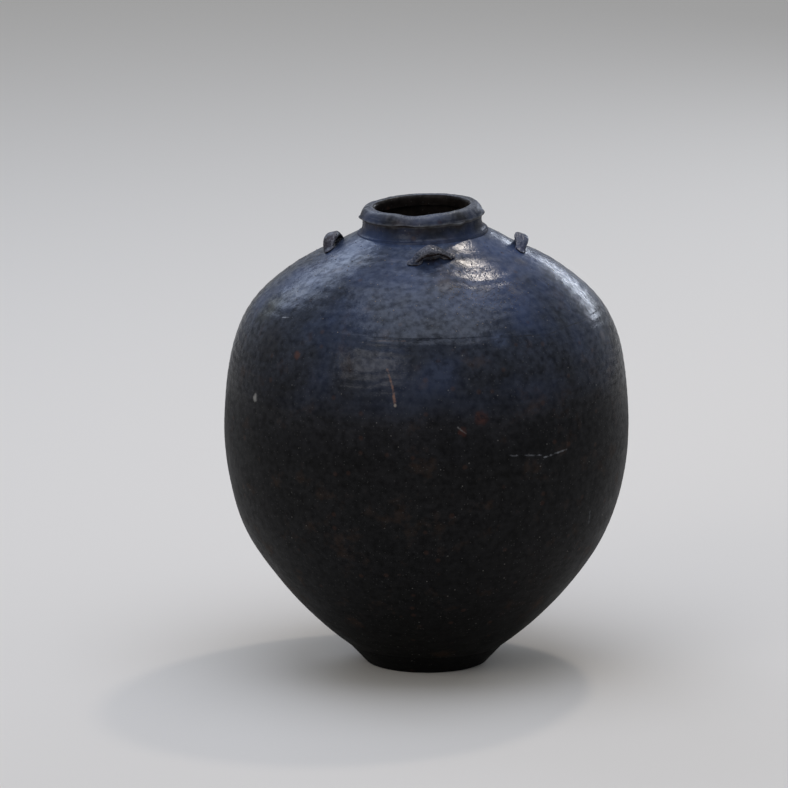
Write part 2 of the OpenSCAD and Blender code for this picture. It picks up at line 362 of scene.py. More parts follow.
        # Hands and cords rub the top 30 mm of a piece with worn edges
        handled = add(tree, "ShaderNodeMapRange", {0: z, 1: top - 0.030, 2: top - 0.018})
        if self.worn:
            edge = add(tree, "ShaderNodeNewGeometry", out="Pointiness")
            edge = add(tree, "ShaderNodeMapRange", {0: edge, 1: 0.502, 2: 0.545, 3: 0.0, 4: 0.85})
            edge = add(tree, "ShaderNodeMath", {0: edge, 1: handled}, operation="MULTIPLY")
            edge = add(tree, "ShaderNodeMath", {0: edge, 1: fleck}, operation="MULTIPLY")
            colour = laid(tree, colour, edge, self.worn)
        # Painted shade: faces that look down are darkened with the under colour
        if self.under:
            turned = add(tree, "ShaderNodeNewGeometry", out="Normal")
            turned = add(tree, "ShaderNodeSeparateXYZ", {0: turned}, "Z")
            down = add(tree, "ShaderNodeMapRange", {0: turned, 1: 0.12, 2: -0.35, 3: 0.0, 4: 0.9})
            colour = laid(tree, colour, down, self.under)
            # What faces up is rubbed, in specks
            upward = add(tree, "ShaderNodeMapRange", {0: turned, 1: 0.62, 2: 0.95})
            rubbed = add(tree, "ShaderNodeMapRange", {0: grain, 1: 0.42, 2: 0.62, 3: 0.0, 4: 0.55})
            rubbed = add(tree, "ShaderNodeMath", {0: rubbed, 1: upward}, operation="MULTIPLY")
            rubbed = add(tree, "ShaderNodeMath", {0: rubbed, 1: handled}, operation="MULTIPLY")
            colour = laid(tree, colour, rubbed, self.worn)
        # Matte and gloss
        rough = add(tree, "ShaderNodeMapRange", {0: blotch, 1: 0.3, 2: 0.7, 3: self.matte - 0.12,
                                                 4: self.matte + 0.14})
        low, middle, high = self.gloss
        shine = add(tree, "ShaderNodeMapRange", {0: shift, 1: 0.43, 2: 0.61, 3: middle, 4: high},
                    interpolation_type="SMOOTHSTEP")
        foot = add(tree, "ShaderNodeMapRange", {0: z, 1: 0.02, 2: 0.20, 3: low / max(middle, 0.01),
                                                4: 1.0})
        shine = add(tree, "ShaderNodeMath", {0: shine, 1: foot}, operation="MULTIPLY")
        patchy = add(tree, "ShaderNodeMapRange", {0: pit, 1: 0.32, 2: 0.6, 3: 0.45, 4: 1.1})
        shine = add(tree, "ShaderNodeMath", {0: shine, 1: patchy}, operation="MULTIPLY")
        # Pitting, rings and grain as relief
        relief = add(tree, "ShaderNodeMath", {0: grain, 1: 0.35, 2: pit}, operation="MULTIPLY_ADD")
        relief = add(tree, "ShaderNodeMath", {0: ring, 1: 0.6, 2: relief}, operation="MULTIPLY_ADD")
        bump = add(tree, "ShaderNodeBump", {"Strength": 0.8, "Distance": self.grain * MM,
                                            "Height": relief})
        skin = add(tree, "ShaderNodeBsdfPrincipled", {
            "Base Color": colour, "Roughness": rough, "IOR": 1.5, "Specular IOR Level": 0.06,
            "Coat Weight": shine, "Coat Roughness": 0.2, "Coat IOR": 1.5, "Normal": bump,
            "Coat Normal": bump})
        add(tree, "ShaderNodeOutputMaterial", {"Surface": skin})
        return made


# ---- Turned pieces


@dataclass
class Wall:
    """Outer and inner wall of the jar in section.

    Args:
        stations: Radius and height of each station of the outer wall, in mm.
        thickness: Thickness of the wall, in mm.
        lap: Length of the sloped joint between two bands, in mm.
    """

    stations: tuple[tuple[float, float], ...] = (
        (89, 0), (117, 30), (204, 110), (278, 220), (303.5, 385), (263, 550), (207, 600),
        (140, 637), (95, 660))
    thickness: float = 12.0
    lap: float = 10.0

    def chord(self, i: int) -> float:
        """Distance between station i and the next, in mm."""
        return math.dist(self.stations[i], self.stations[i + 1])

    def heading(self, i: int) -> np.ndarray:
        """Direction from station i to the next."""
        return (np.array(self.stations[i + 1]) - np.array(self.stations[i])) / self.chord(i)

    def direction(self, i: int) -> np.ndarray:
        """Direction of the wall at station i; the heel is a true bend."""
        if i == 1:
            return 2 * self.heading(1) - self.direction(2)
        if i == len(self.stations) - 1:
            return self.heading(i - 1)
        before, after = self.chord(i - 1), self.chord(i)
        return (self.heading(i - 1) * after + self.heading(i) * before) / (before + after)

    def outer(self, s: float) -> np.ndarray:
        """Gives a place on the outer wall.

        Args:
            s: Station number plus the share of the way to the next one.

        Returns:
            Radius and height in mm.
        """
        i = min(int(s), len(self.stations) - 2)
        u = s - i
        a, b = np.array(self.stations[i], float), np.array(self.stations[i + 1], float)
        if i == 0:
            return a + (b - a) * u
        ease = 3 * u ** 2 - 2 * u ** 3
        bend = (self.direction(i) * (u ** 3 - 2 * u ** 2 + u)
                + self.direction(i + 1) * (u ** 3 - u ** 2))
        return a * (1 - ease) + b * ease + self.chord(i) * bend

    def inner(self, s: float) -> np.ndarray:
        """Gives the place on the inner wall behind an outer one.

        Args:
            s: Station number plus the share of the way to the next one.

        Returns:
            Radius and height in mm.
        """
        i = min(int(s), len(self.stations) - 2)
        step = self.outer(min(s + 0.01, i + 1)) - self.outer(max(s - 0.01, i))
        step /= np.linalg.norm(step)
        return self.outer(s) - self.thickness * np.array((step[1], -step[0]))

    def run(self, inside: bool, start: float, end: float, pitch: float) -> list[np.ndarray]:
        """Gives places along the wall at a chosen spacing.

        Args:
            inside: True for the inner wall.
            start: First place.
            end: Last place.
            pitch: Distance between places, in mm.

        Returns:
            Radii and heights in mm.
        """
        at = self.inner if inside else self.outer
        length = np.linalg.norm(at(end) - at(start))
        count = max(1, math.ceil(length / pitch))
        return [at(start + (end - start) * k / count) for k in range(count + 1)]

    def lap_top(self, i: int) -> float:
        """Upper end of the joint at station i, on the inner wall."""
        return i + self.lap / self.chord(i)


WALL = Wall()
ROW = 3.0
INNER_ROW = 9.0


def dense(points: list[tuple[float, float]], pitch: float) -> list[tuple[float, float]]:
    """Adds points to a section's straight stretches.

    Args:
        points: Corners, in mm.
        pitch: Greatest distance between points, in mm.

    Returns:
        The corners and the points between them.
    """
    made = [points[0]]
    for a, b in zip(points, points[1:]):
        count = max(1, math.ceil(math.dist(a, b) / pitch))
        made += [tuple(np.array(a) + (np.array(b) - np.array(a)) * k / count)
                 for k in range(1, count + 1)]
    return made


class Turning:
    """The wheel: one Geometry Nodes tree that turns a section around an axis and hands it on."""

    INPUTS = (("Segments", "NodeSocketInt"), ("Shift", "NodeSocketVector"),
              ("Lean", "NodeSocketVector"), ("Dent Depth", "NodeSocketFloat"),
              ("Dents per Metre", "NodeSocketFloat"), ("Ring Depth", "NodeSocketFloat"),
              ("Ring Pitch", "NodeSocketFloat"), ("Waver", "NodeSocketFloat"),
              ("Seed", "NodeSocketFloat"), ("Finish", "NodeSocketMaterial"))

    def __init__(self) -> None:
        """Builds the tree."""
        self.tree = bpy.data.node_groups.new("Turning", "GeometryNodeTree")
        tree, face = self.tree, self.tree.interface
        face.new_socket("Geometry", in_out="INPUT", socket_type="NodeSocketGeometry")
        for name, kind in self.INPUTS:
            face.new_socket(name, in_out="INPUT", socket_type=kind)
        face.new_socket("Geometry", in_out="OUTPUT", socket_type="NodeSocketGeometry")
        given = add(tree, "NodeGroupInput").node.outputs
        # The section is swept round a circle, and each point is then put at its radius and angle
        line = add(tree, "GeometryNodeMeshToCurve", {0: given["Geometry"]})
        line = add(tree, "GeometryNodeCaptureAttribute",
                   {0: line}, captures=("VECTOR", "Section"))
        section = line.node
        tree.links.new(add(tree, "GeometryNodeInputPosition"), section.inputs[1])
        circle = add(tree, "GeometryNodeCurvePrimitiveCircle", {"Resolution": given["Segments"]})
        circle = add(tree, "GeometryNodeCaptureAttribute", {0: circle}, captures=("FLOAT", "Turn"))
        turn = add(tree, "ShaderNodeMath", {0: add(tree, "GeometryNodeInputIndex"),
                                            1: given["Segments"]}, operation="DIVIDE")
        turn = add(tree, "ShaderNodeMath", {0: turn, 1: math.tau}, operation="MULTIPLY")
        tree.links.new(turn, circle.node.inputs[1])
        shape = add(tree, "GeometryNodeCurveToMesh", {"Curve": circle, "Profile Curve": line})
        split = add(tree, "ShaderNodeSeparateXYZ", {0: section.outputs[1]})
        side = [add(tree, "ShaderNodeMath", {0: circle.node.outputs[1]}, operation=way)
                for way in ("COSINE", "SINE")]
        side = [add(tree, "ShaderNodeMath", {0: split, 1: s}, operation="MULTIPLY") for s in side]
        spot = add(tree, "ShaderNodeCombineXYZ", {0: side[0], 1: side[1],
                                                  2: split.node.outputs["Z"]})
        shape = add(tree, "GeometryNodeSetPosition", {"Geometry": shape, "Position": spot})
        lean = add(tree, "FunctionNodeEulerToRotation", {0: given["Lean"]})
        shape = add(tree, "GeometryNodeTransform", {"Geometry": shape, "Rotation": lean,
                                                    "Translation": given["Shift"]})
        shape = add(tree, "GeometryNodeMergeByDistance", {"Geometry": shape, "Distance": 0.01 * MM})
        shape = self.by_hand(tree, given, shape)
        # Joints and the foot's edge stay sharp
        bend = add(tree, "GeometryNodeInputMeshEdgeAngle")
        sharp = add(tree, "FunctionNodeCompare", {0: bend, 1: math.radians(38)},
                    data_type="FLOAT", operation="GREATER_THAN")
        shape = add(tree, "GeometryNodeSetShadeSmooth", {"Geometry": shape, "Shade Smooth": True})
        shape = add(tree, "GeometryNodeSetShadeSmooth", {"Geometry": shape, "Selection": sharp,
                                                         "Shade Smooth": False}, domain="EDGE")
        shape = add(tree, "GeometryNodeRealizeInstances", {0: shape})
        shape = add(tree, "GeometryNodeSetMaterial", {"Geometry": shape,
                                                      "Material": given["Finish"]})
        add(tree, "NodeGroupOutput", {0: shape})

    def by_hand(self, tree: bpy.types.NodeTree, given: object,
                shape: bpy.types.NodeSocket) -> bpy.types.NodeSocket:
        """Adds what the hand leaves: dents, throwing rings and wavering joints.

        It depends on the place alone, so that pieces that meet stay together.

        Args:
            tree: The tree.
            given: The tree's inputs.
            shape: The turned shape.

        Returns:
            The shape with its unevenness.
        """
        place = add(tree, "GeometryNodeInputPosition")
        z = add(tree, "ShaderNodeSeparateXYZ", {0: place}, "Z")
        out = add(tree, "ShaderNodeVectorMath", {0: place, 1: HEART}, operation="SUBTRACT")
        out = add(tree, "ShaderNodeVectorMath", {0: out}, operation="NORMALIZE")
        still = add(tree, "ShaderNodeMapRange", {0: z, 1: 0.004, 2: 0.075},
                    interpolation_type="SMOOTHSTEP")
        calm = add(tree, "ShaderNodeMapRange", {0: z, 1: 0.652, 2: 0.640},
                   interpolation_type="SMOOTHSTEP")
        still = add(tree, "ShaderNodeMath", {0: still, 1: calm}, operation="MULTIPLY")
        seeded = add(tree, "ShaderNodeCombineXYZ", {0: given["Seed"]})
        seeded = add(tree, "ShaderNodeVectorMath", {0: place, 1: seeded}, operation="ADD")
        dent = add(tree, "ShaderNodeTexNoise", {"Vector": seeded, "Scale": given["Dents per Metre"],
                                                "Detail": 3.0, "Roughness": 0.35})
        dent = add(tree, "ShaderNodeMapRange", {0: dent, 1: 0.34, 2: 0.72})
        dent = add(tree, "ShaderNodeMath", {0: dent, 1: given["Dent Depth"]}, operation="MULTIPLY")
        phase = add(tree, "ShaderNodeTexNoise", {"Vector": seeded, "Scale": 7.0, "Detail": 2.0})
        phase = add(tree, "ShaderNodeMath", {0: phase, 1: 22.0}, operation="MULTIPLY")
        turns = add(tree, "ShaderNodeMath", {0: z, 1: given["Ring Pitch"]}, operation="DIVIDE")
        turns = add(tree, "ShaderNodeMath", {0: turns, 1: math.tau, 2: phase},
                    operation="MULTIPLY_ADD")
        ring = add(tree, "ShaderNodeMath", {0: turns}, operation="SINE")
        ring = add(tree, "ShaderNodeMapRange", {0: ring, 1: -1.0, 2: 1.0})
        ring = add(tree, "ShaderNodeMath", {0: ring, 1: given["Ring Depth"]}, operation="MULTIPLY")
        high = add(tree, "ShaderNodeMapRange", {0: z, 1: 0.36, 2: 0.50, 3: 0.25, 4: 1.0},
                   interpolation_type="SMOOTHSTEP")
        ring = add(tree, "ShaderNodeMath", {0: ring, 1: high, 2: dent}, operation="MULTIPLY_ADD")
        push = add(tree, "ShaderNodeMath", {0: ring, 1: still}, operation="MULTIPLY")
        push = add(tree, "ShaderNodeMath", {0: push, 1: -1.0}, operation="MULTIPLY")
        push = add(tree, "ShaderNodeVectorMath", {0: out, 3: push}, operation="SCALE")
        sway = add(tree, "ShaderNodeTexNoise", {"Vector": seeded, "Scale": 2.6, "Detail": 1.0})
        sway = add(tree, "ShaderNodeMapRange", {0: sway, 1: 0.0, 2: 1.0, 3: -1.0, 4: 1.0})
        sway = add(tree, "ShaderNodeMath", {0: sway, 1: given["Waver"]}, operation="MULTIPLY")
        sway = add(tree, "ShaderNodeMath", {0: sway, 1: still}, operation="MULTIPLY")
        sway = add(tree, "ShaderNodeCombineXYZ", {2: sway})
        move = add(tree, "ShaderNodeVectorMath", {0: push, 1: sway}, operation="ADD")
        return add(tree, "GeometryNodeSetPosition", {"Geometry": shape, "Offset": move})

    def turn(self, name: str, section: list[tuple[float, float]], closed: bool,
             finish: bpy.types.Material, **values: object) -> bpy.types.Object:
        """Turns a section into a finished piece.

        Args:
            name: Name of the piece.
            section: Radii and heights of the section, in mm.
            closed: True if the section is a closed ring around the axis.
            finish: The material.
            values: Values of the tree's named inputs, with _ for a blank.

        Returns:
            The piece as a plain mesh object.
        """
        line = bpy.data.meshes.new(name)
        count = len(section)
        edges = [(k, (k + 1) % count) for k in range(count if closed else count - 1)]
        line.from_pydata([(r * MM, 0.0, z * MM) for r, z in section], edges, [])
        piece = bpy.data.objects.new(name, line)
        bpy.context.scene.collection.objects.link(piece)
        wheel = piece.modifiers.new("Turning", "NODES")
        wheel.node_group = self.tree
        settings = {"Segments": 640, "Shift": (0.0, 0.0, 0.0), "Lean": (0.0, 0.0, 0.0),
                    "Dent Depth": 2.2 * MM, "Dents per Metre": 6.5, "Ring Depth": 0.38 * MM,
                    "Ring Pitch": 13 * MM, "Waver": 5.0 * MM, "Seed": 4.0, "Finish": finish}
        settings.update({key.replace("_", " "): value for key, value in values.items()})
        for item in self.tree.interface.items_tree:
            if item.in_out == "INPUT" and item.name in settings:
                wheel[item.identifier] = settings[item.name]
        return baked(piece)


def baked(piece: bpy.types.Object) -> bpy.types.Object:
    """Applies a piece's modifiers and turns its faces outwards.

    Args:
        piece: The object, whose own data is replaced.

    Returns:
        The same object with a plain mesh.
    """
    ready = piece.evaluated_get(bpy.context.evaluated_depsgraph_get())
    mesh = bpy.data.meshes.new_from_object(ready)
    piece.modifiers.clear()
    old, piece.data = piece.data, mesh
    bpy.data.meshes.remove(old)
    mesh.name = piece.name
    mesh.calc_loop_triangles()
    where = points_of(mesh)
    corners = np.zeros(len(mesh.loop_triangles) * 3, int)
    mesh.loop_triangles.foreach_get("vertices", corners)
    a, b, c = (where[corners.reshape(-1, 3)[:, k]] for k in range(3))
    if np.einsum("ij,ij->i", a, np.cross(b, c)).sum() < 0:
        mesh.flip_normals()
    return piece


def coat_inside(piece: bpy.types.Object, finish: bpy.types.Material, middle: tuple[float, ...],
                flat: bool) -> None:
    """Gives the faces that look towards the jar's middle the inside's glaze.

    Args:
        piece: The piece.
        finish: The inside's glaze.
        middle: Point on the axis, in metres.
        flat: True to look only across the axis, for a piece around the mouth.
    """
    polygons = piece.data.polygons
    facing, centre = (np.zeros(len(polygons) * 3) for _ in range(2))
    polygons.foreach_get("normal", facing)
    polygons.foreach_get("center", centre)
    facing, away = facing.reshape(-1, 3), centre.reshape(-1, 3) - np.array(middle)
    if flat:
        away[:, 2] = 0
    away /= np.linalg.norm(away, axis=1)[:, None]
    inward = (facing * away).sum(1) < (-0.35 if flat else -0.05)
    piece.data.materials.append(finish)
    polygons.foreach_set("material_index", inward.astype(np.int32))


def points_of(mesh: bpy.types.Mesh) -> np.ndarray:
    """Gives a mesh's vertices.

    Args:
        mesh: The mesh.

    Returns:
        One row for each vertex, in metres.
    """
    where = np.zeros(len(mesh.vertices) * 3)
    mesh.vertices.foreach_get("co", where)
    return where.reshape(-1, 3)


@dataclass(frozen=True)
class Touch:
    """A local push of the hand or a knock, that fades out around its place.

    Args:
        place: Where it is, in metres.
        reach: How far it reaches along x, y and z, in mm.
        push: How far it moves the clay, in mm.
    """

    place: tuple[float, float, float]
    reach: tuple[float, float, float]
    push: tuple[float, float, float]

    def apply(self, where: np.ndarray) -> np.ndarray:
        """Moves the points near the touch.

        Args:
            where: Points in metres.

        Returns:
            The moved points.
        """
        away = (where - np.array(self.place)) / (np.array(self.reach) * MM)
        fade = np.clip(1 - (away ** 2).sum(1), 0, 1) ** 2
        return where + fade[:, None] * np.array(self.push) * MM


# What the hand and time did to the mouth: dips, a spur, a bump and a crack across the lip
RIM_TOUCHES = (
    Touch((-0.021, -0.086, 0.697), (34, 30, 14), (0, 0, -3.6)),
    Touch((0.006, -0.083, 0.699), (16, 22, 10), (0, -1.0, -1.2)),
    Touch((-0.058, -0.070, 0.697), (30, 24, 12), (0, 0, 1.2)),
    Touch((-0.101, -0.004, 0.6795), (11, 12, 6), (-3.4, 0, 0.6)),
    Touch((-0.093, 0.002, 0.696), (10, 5, 9), (4.0, 0, -2.2)),
    Touch((-0.086, -0.004, 0.699), (20, 2.6, 8), (0, 0, -3.4)),
    Touch((0.088, -0.010, 0.690), (12, 16, 12), (2.6, 0, 1.0)),
    Touch((0.083, 0.030, 0.700), (22, 26, 12), (0, 0, -1.6)),
    Touch((0.050, -0.073, 0.684), (16, 14, 6), (0.6, -1.2, -1.0)),
    Touch((-0.035, -0.090, 0.681), (22, 14, 6), (0, 1.4, 0.6)),
)


def worn_lip(where: np.ndarray) -> np.ndarray:
    """Gives the neck and rim their uneven, hand-finished shape.

    Args:
        where: Points in metres.

    Returns:
        The moved points.
    """
    made = where.copy()
    lift = np.clip((where[:, 2] - 0.664) / 0.012, 0, 1)
    for k, spot in enumerate(where):
        wave = noise.noise(Vector(spot) * 26.0 + Vector((7.1, 0, 0)))
        fine = noise.noise(Vector(spot) * 110.0)
        side = np.array((spot[0] + 0.006, spot[1], 0.0))
        side /= max(np.linalg.norm(side), 1e-6)
        made[k] += side * lift[k] * (1.5 * wave + 0.45 * fine) * MM
        made[k, 2] -= lift[k] * abs(0.9 * wave + 0.4 * fine) * MM * (spot[2] > 0.69)
    for touch in RIM_TOUCHES:
        made = touch.apply(made)
    made[:, 2] = np.minimum(made[:, 2], CAD_BOX[1][2])
    return made


@dataclass
class TurnedPiece:
    """A ring of clay turned on the wheel or coiled, and luted to its neighbours.

    Args:
        node: The CAD node it stands for, and the piece's name.
        slot: Its material slot.
    """

    node: str
    slot: Slot

    def section(self) -> list[tuple[float, float]]:
        """Gives the section's points in mm."""
        raise NotImplementedError

    def build(self, wheel: Turning, finish: bpy.types.Material) -> bpy.types.Object:
        """Turns the piece.

        Args:
            wheel: The tree that turns sections.
            finish: The material.

        Returns:
            The piece.
        """
        return wheel.turn(self.node, self.section(), True, finish)

    def dress(self, piece: bpy.types.Object) -> None:
        """Hands the piece over in place of its CAD node."""
        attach(piece, "root")
        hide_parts(self.node)
        LOG.info("%s: %d vertices", piece.name, len(piece.data.vertices))


@dataclass
class WallBand(TurnedPiece):
    """A band of the wall between two stations.

    Args:
        station: Number of its lower station.
    """

    station: int = 1

    def section(self) -> list[tuple[float, float]]:
        """Gives the outer wall upwards and the inner wall back down."""
        i = self.station
        outside = WALL.run(False, i, i + 1, ROW)
        inside = WALL.run(True, WALL.lap_top(i), WALL.lap_top(i + 1), INNER_ROW)
        return [tuple(p) for p in outside + inside[::-1]]


@dataclass
class Base(TurnedPiece):
    """Flat floor with a turned-up edge.

    Args:
        bevel: Bevel of the foot's lower edge, in mm.
        floor: Thickness of the floor, in mm.
    """

    bevel: float = 3.0
    floor: float = 14.0

    def section(self) -> list[tuple[float, float]]:
        """Gives the outside from the axis up to the heel, and the inside back to the axis."""
        way = WALL.heading(0)
        bend = np.array(WALL.stations[1]) - WALL.thickness * np.array((way[1], -way[0]))
        corner = bend[0] - (bend[1] - self.floor) * way[0] / way[1]
        edge = WALL.outer(self.bevel / WALL.chord(0))
        foot, heel = WALL.stations[:2]
        outside = dense([(0, 0), (foot[0] - self.bevel, 0)], 12.0)
        outside += dense([tuple(edge), heel], ROW)
        inside = dense([tuple(WALL.inner(WALL.lap_top(1))), tuple(bend), (corner, self.floor),
                        (0, self.floor)], 10.0)
        return outside + inside

    def build(self, wheel: Turning, finish: bpy.types.Material) -> bpy.types.Object:
        """Turns the base, whose section is open at the axis.

        Args:
            wheel: The tree that turns sections.
            finish: The material.

        Returns:
            The base.
        """
        return wheel.turn(self.node, self.section(), False, finish, Segments=480)


@dataclass
class Shoulder(TurnedPiece):
    """Domed top of the wall, whose lower edge shows as a ridge.

    Args:
        proud: How far the ridge stands out, in mm.
        hole: Radius of its hole, in mm, about the neck's axis.
        slope: Slope of the seat under the neck, in degrees.
    """

    proud: float = 0.12
    hole: float = 74.0
    slope: float = 18.0

    def section(self) -> list[tuple[float, float]]:
        """Gives the ridge, the dome, the seat and the inner wall."""
        fall = math.radians(self.slope)
        edge = WALL.outer(5.0)
        out = (edge - WALL.inner(5.0)) / WALL.thickness
        dome = WALL.run(False, 5.05, 8.0, ROW)
        ridge = [edge, WALL.outer(5.012) + out * self.proud, WALL.outer(5.03) + out * self.proud]
        crown_r, crown_z = WALL.stations[-1]
        seat = np.array((self.hole, crown_z + (crown_r - self.hole) * math.tan(fall)))
        under = seat - WALL.thickness * np.array((math.sin(fall), math.cos(fall)))
        crown = WALL.inner(8.0) - (1.5, 0)
        inside = WALL.run(True, WALL.lap_top(5), 7.85, INNER_ROW)
        shape = ridge + dome + dense([tuple(dome[-1]), tuple(seat)], 4.0)[1:]
        shape += [under, crown] + inside[::-1]
        return [tuple(p) for p in shape]

    def build(self, wheel: Turning, finish: bpy.types.Material) -> bpy.types.Object:
        """Turns the shoulder and moves its hole onto the neck's axis.

        Args:
            wheel: The tree that turns sections.
            finish: The material.

        Returns:
            The shoulder.
        """
        piece = super().build(wheel, finish)
        where = points_of(piece.data)
        far = np.hypot(where[:, 0], where[:, 1])
        crown_r = WALL.stations[-1][0]
        share = np.clip((crown_r * MM - far) / ((crown_r - self.hole) * MM), 0, 1)
        where[:, 0] += NECK_SHIFT[0] * share
        where[:, 2] -= 0.3 * MM * share
        piece.data.vertices.foreach_set("co", where.ravel())
        piece.data.update()
        return piece


@dataclass
class Collar(TurnedPiece):
    """Neck or rim, turned on the leaning axis and finished by hand."""

    def build(self, wheel: Turning, finish: bpy.types.Material) -> bpy.types.Object:
        """Turns the piece and works its edges.

        Args:
            wheel: The tree that turns sections.
            finish: The material.

        Returns:
            The piece.
        """
        piece = wheel.turn(self.node, self.section(), True, finish, Segments=420, Shift=NECK_SHIFT,
                           Lean=(0.0, NECK_LEAN, 0.0))
        where = worn_lip(points_of(piece.data))
        piece.data.vertices.foreach_set("co", where.ravel())
        piece.data.update()
        return piece


@dataclass
class Neck(Collar):
    """Low neck, hollow-cheeked over a flared foot."""

    def section(self) -> list[tuple[float, float]]:
        """Gives the flare, the waist, the key and the bore; heights start at the crown."""
        flare = [(97 - 7.5 * math.sin(math.radians(a)), 15.5 - 14 * math.cos(math.radians(a)))
                 for a in range(0, 91, 10)]
        foot = [(98.4, -3.2), (98.4, -1.6), (97.9, -0.2)]
        upper = dense([(89.5, 15.5), (89.3, 20.0), (89.5, 23.0), (81.75, 27.0), (74, 23.0)], 2.5)
        bore = dense([(74, 23.0), (74, 5.5)], 4.0)[1:]
        return foot + flare + upper[1:] + bore


@dataclass
class Rim(Collar):
    """Rolled rim with an overhanging lower edge and a worn flat lip."""

    def section(self) -> list[tuple[float, float]]:
        """Gives the underside, the roll, the lip and the bore; heights start at the crown."""
        outside = [(89.5, 23.0), (90.6, 22.7), (91.8, 23.2), (92.4, 24.6), (92.3, 26.2),
                   (91.6, 28.0), (90.8, 29.8), (90.0, 31.8), (89.0, 33.8), (87.8, 35.8),
                   (86.4, 37.6), (84.8, 39.1), (82.6, 39.9), (80.0, 40.0), (77.5, 39.8),
                   (75.0, 39.9), (73.2, 39.5), (71.4, 38.4), (70.3, 36.6), (70.0, 34.0)]
        bore = dense([(70, 34), (70, 24.2), (71, 23.0), (74, 23.0)], 3.0)[1:]
        under = dense([(74, 23.0), (81.75, 27.0), (89.5, 23.0)], 3.0)[1:-1]
        return dense(outside, 1.6) + bore + under


# ---- Lugs and grit


@dataclass
class Lug:
    """Strap of clay arched over the shoulder and thumbed down at both ends.

    Args:
        node: The CAD node it stands for, and the piece's name.
        angle: Degrees around the jar.
        radius: Distance from the axis, in mm.
        twist: Turn on its seat, in degrees.
        seed: Number that sets its unevenness.
        span: Span over the legs, in mm.
        rise: Height of the crown, in mm.
        width: Width of the strap, in mm.
        thickness: Thickness of the strap, in mm.
        lean: Lean of the crown towards the level, in degrees.
    """

    node: str
    angle: float
    radius: float
    twist: float
    seed: float
    span: float = 60.0
    rise: float = 15.5
    width: float = 14.0
    thickness: float = 5.5
    lean: float = 8.0

    def seat(self) -> Matrix:
        """Gives the lug's place: x across the slope, y up the slope and z outwards."""
        dome = np.array(WALL.run(False, 5.0, 8.0, 2.0))[::-1]
        height = [float(np.interp(self.radius + k, dome[:, 0], dome[:, 1]))
                  for k in (-self.width / 2, 0, self.width / 2)]
        slope = math.atan2(height[0] - height[2], self.width)
        return (Matrix.Rotation(math.radians(self.angle), 4, "Z")
                @ Matrix.Translation((self.radius * MM, 0, height[1] * MM))
                @ Matrix.Rotation(slope, 4, "Y") @ Matrix.Rotation(math.pi / 2, 4, "Z")
                @ Matrix.Rotation(math.radians(self.twist), 4, "Z"))

    def clay(self) -> bpy.types.Mesh:
        """Lays the strap and its thumbed ends as rough closed shapes, in the lug's own place.

        Returns:
            A mesh of overlapping closed shapes, in metres.
        """
        shape = bmesh.new()
        circle = (self.span ** 2 / 4 + self.rise ** 2) / (2 * self.rise)
        middle, half = circle - self.thickness / 2, self.width / 2
        steps, around = 36, 14
        rings = []
        for k in range(steps + 1):
            t = 2 * k / steps - 1
            bow = math.radians(57) * t
            # Broad at the crown, where it leans uphill, and squeezed again at the feet
            crown = math.cos(math.pi / 2 * t) ** 1.5
            uneven = 1 + 0.06 * math.sin(5 * t + self.seed)
            wide = half * (1 + 0.55 * crown + 0.2 * t ** 4) * uneven
            thick = self.thickness / 2 * (1.15 + 0.85 * crown ** 3
                                          + 0.10 * math.cos(4 * t + self.seed))
            ring = []
            for j in range(around):
                a = math.tau * j / around
                # A flat oval: its corners are rounded by the fingers
                y = 2.6 * crown + wide * math.copysign(abs(math.cos(a)) ** 0.62, math.cos(a))
                h = thick * math.copysign(abs(math.sin(a)) ** 0.75, math.sin(a))
                spot = Vector(((middle + h) * math.sin(bow), y,
                               (middle + h) * math.cos(bow) - circle + self.rise))
                spot = Matrix.Rotation(math.radians(-self.lean), 4, "X") @ spot
                ring.append(shape.verts.new(spot * MM))
            rings.append(ring)
        for a, b in zip(rings, rings[1:]):
            for j in range(around):
                shape.faces.new((a[j], a[(j + 1) % around], b[(j + 1) % around], b[j]))
        shape.faces.new(rings[0])
        shape.faces.new(rings[-1][::-1])
        # Thumbed ends: a pad under each leg, and a thinner smear beyond it
        for side in (-1, 1):
            for x, r, tall, lift in ((24.0, 10.0, 3.4, -0.4), (30.0, 8.0, 2.0, -0.6),
                                     (20.5, 7.0, 4.0, 0.0)):
                place = (Matrix.Translation(Vector((side * x, side * 1.0, lift)) * MM)
                         @ Matrix.Diagonal(Vector((r, 0.86 * r, tall, 1000.0)) * MM))
                bmesh.ops.create_icosphere(shape, subdivisions=4, radius=1.0, matrix=place)
        bmesh.ops.recalc_face_normals(shape, faces=shape.faces)
        mesh = bpy.data.meshes.new(self.node)
        shape.to_mesh(mesh)
        shape.free()
        return mesh

    def build(self, finish: bpy.types.Material) -> bpy.types.Object:
        """Works the lug into one skin and sets it on the shoulder.

        Args:
            finish: The material.

        Returns:
            The lug.
        """
        piece = bpy.data.objects.new(self.node, self.clay())
        bpy.context.scene.collection.objects.link(piece)
        skin = piece.modifiers.new("Skin", "REMESH")
        skin.mode, skin.voxel_size, skin.use_smooth_shade = "VOXEL", 0.8 * MM, True
        soft = piece.modifiers.new("Soft", "SMOOTH")
        soft.factor, soft.iterations = 0.6, 5
        baked(piece)
        where = points_of(piece.data)
        for k, spot in enumerate(where):
            here = Vector(spot) / MM
            wave = noise.noise(here * 0.09 + Vector((self.seed, 0, 0)))
            fine = noise.noise(here * 0.33 + Vector((0, self.seed, 0)))
            lump = 0.9 * wave + 0.5 * fine
            where[k] += np.array((0.2 * wave, lump, lump)) * MM
        seat = np.array(self.seat())
        where = where @ seat[:3, :3].T + seat[:3, 3]
        piece.data.vertices.foreach_set("co", where.ravel())
        piece.data.materials.clear()
        piece.data.materials.append(finish)
        piece.data.update()
        return piece

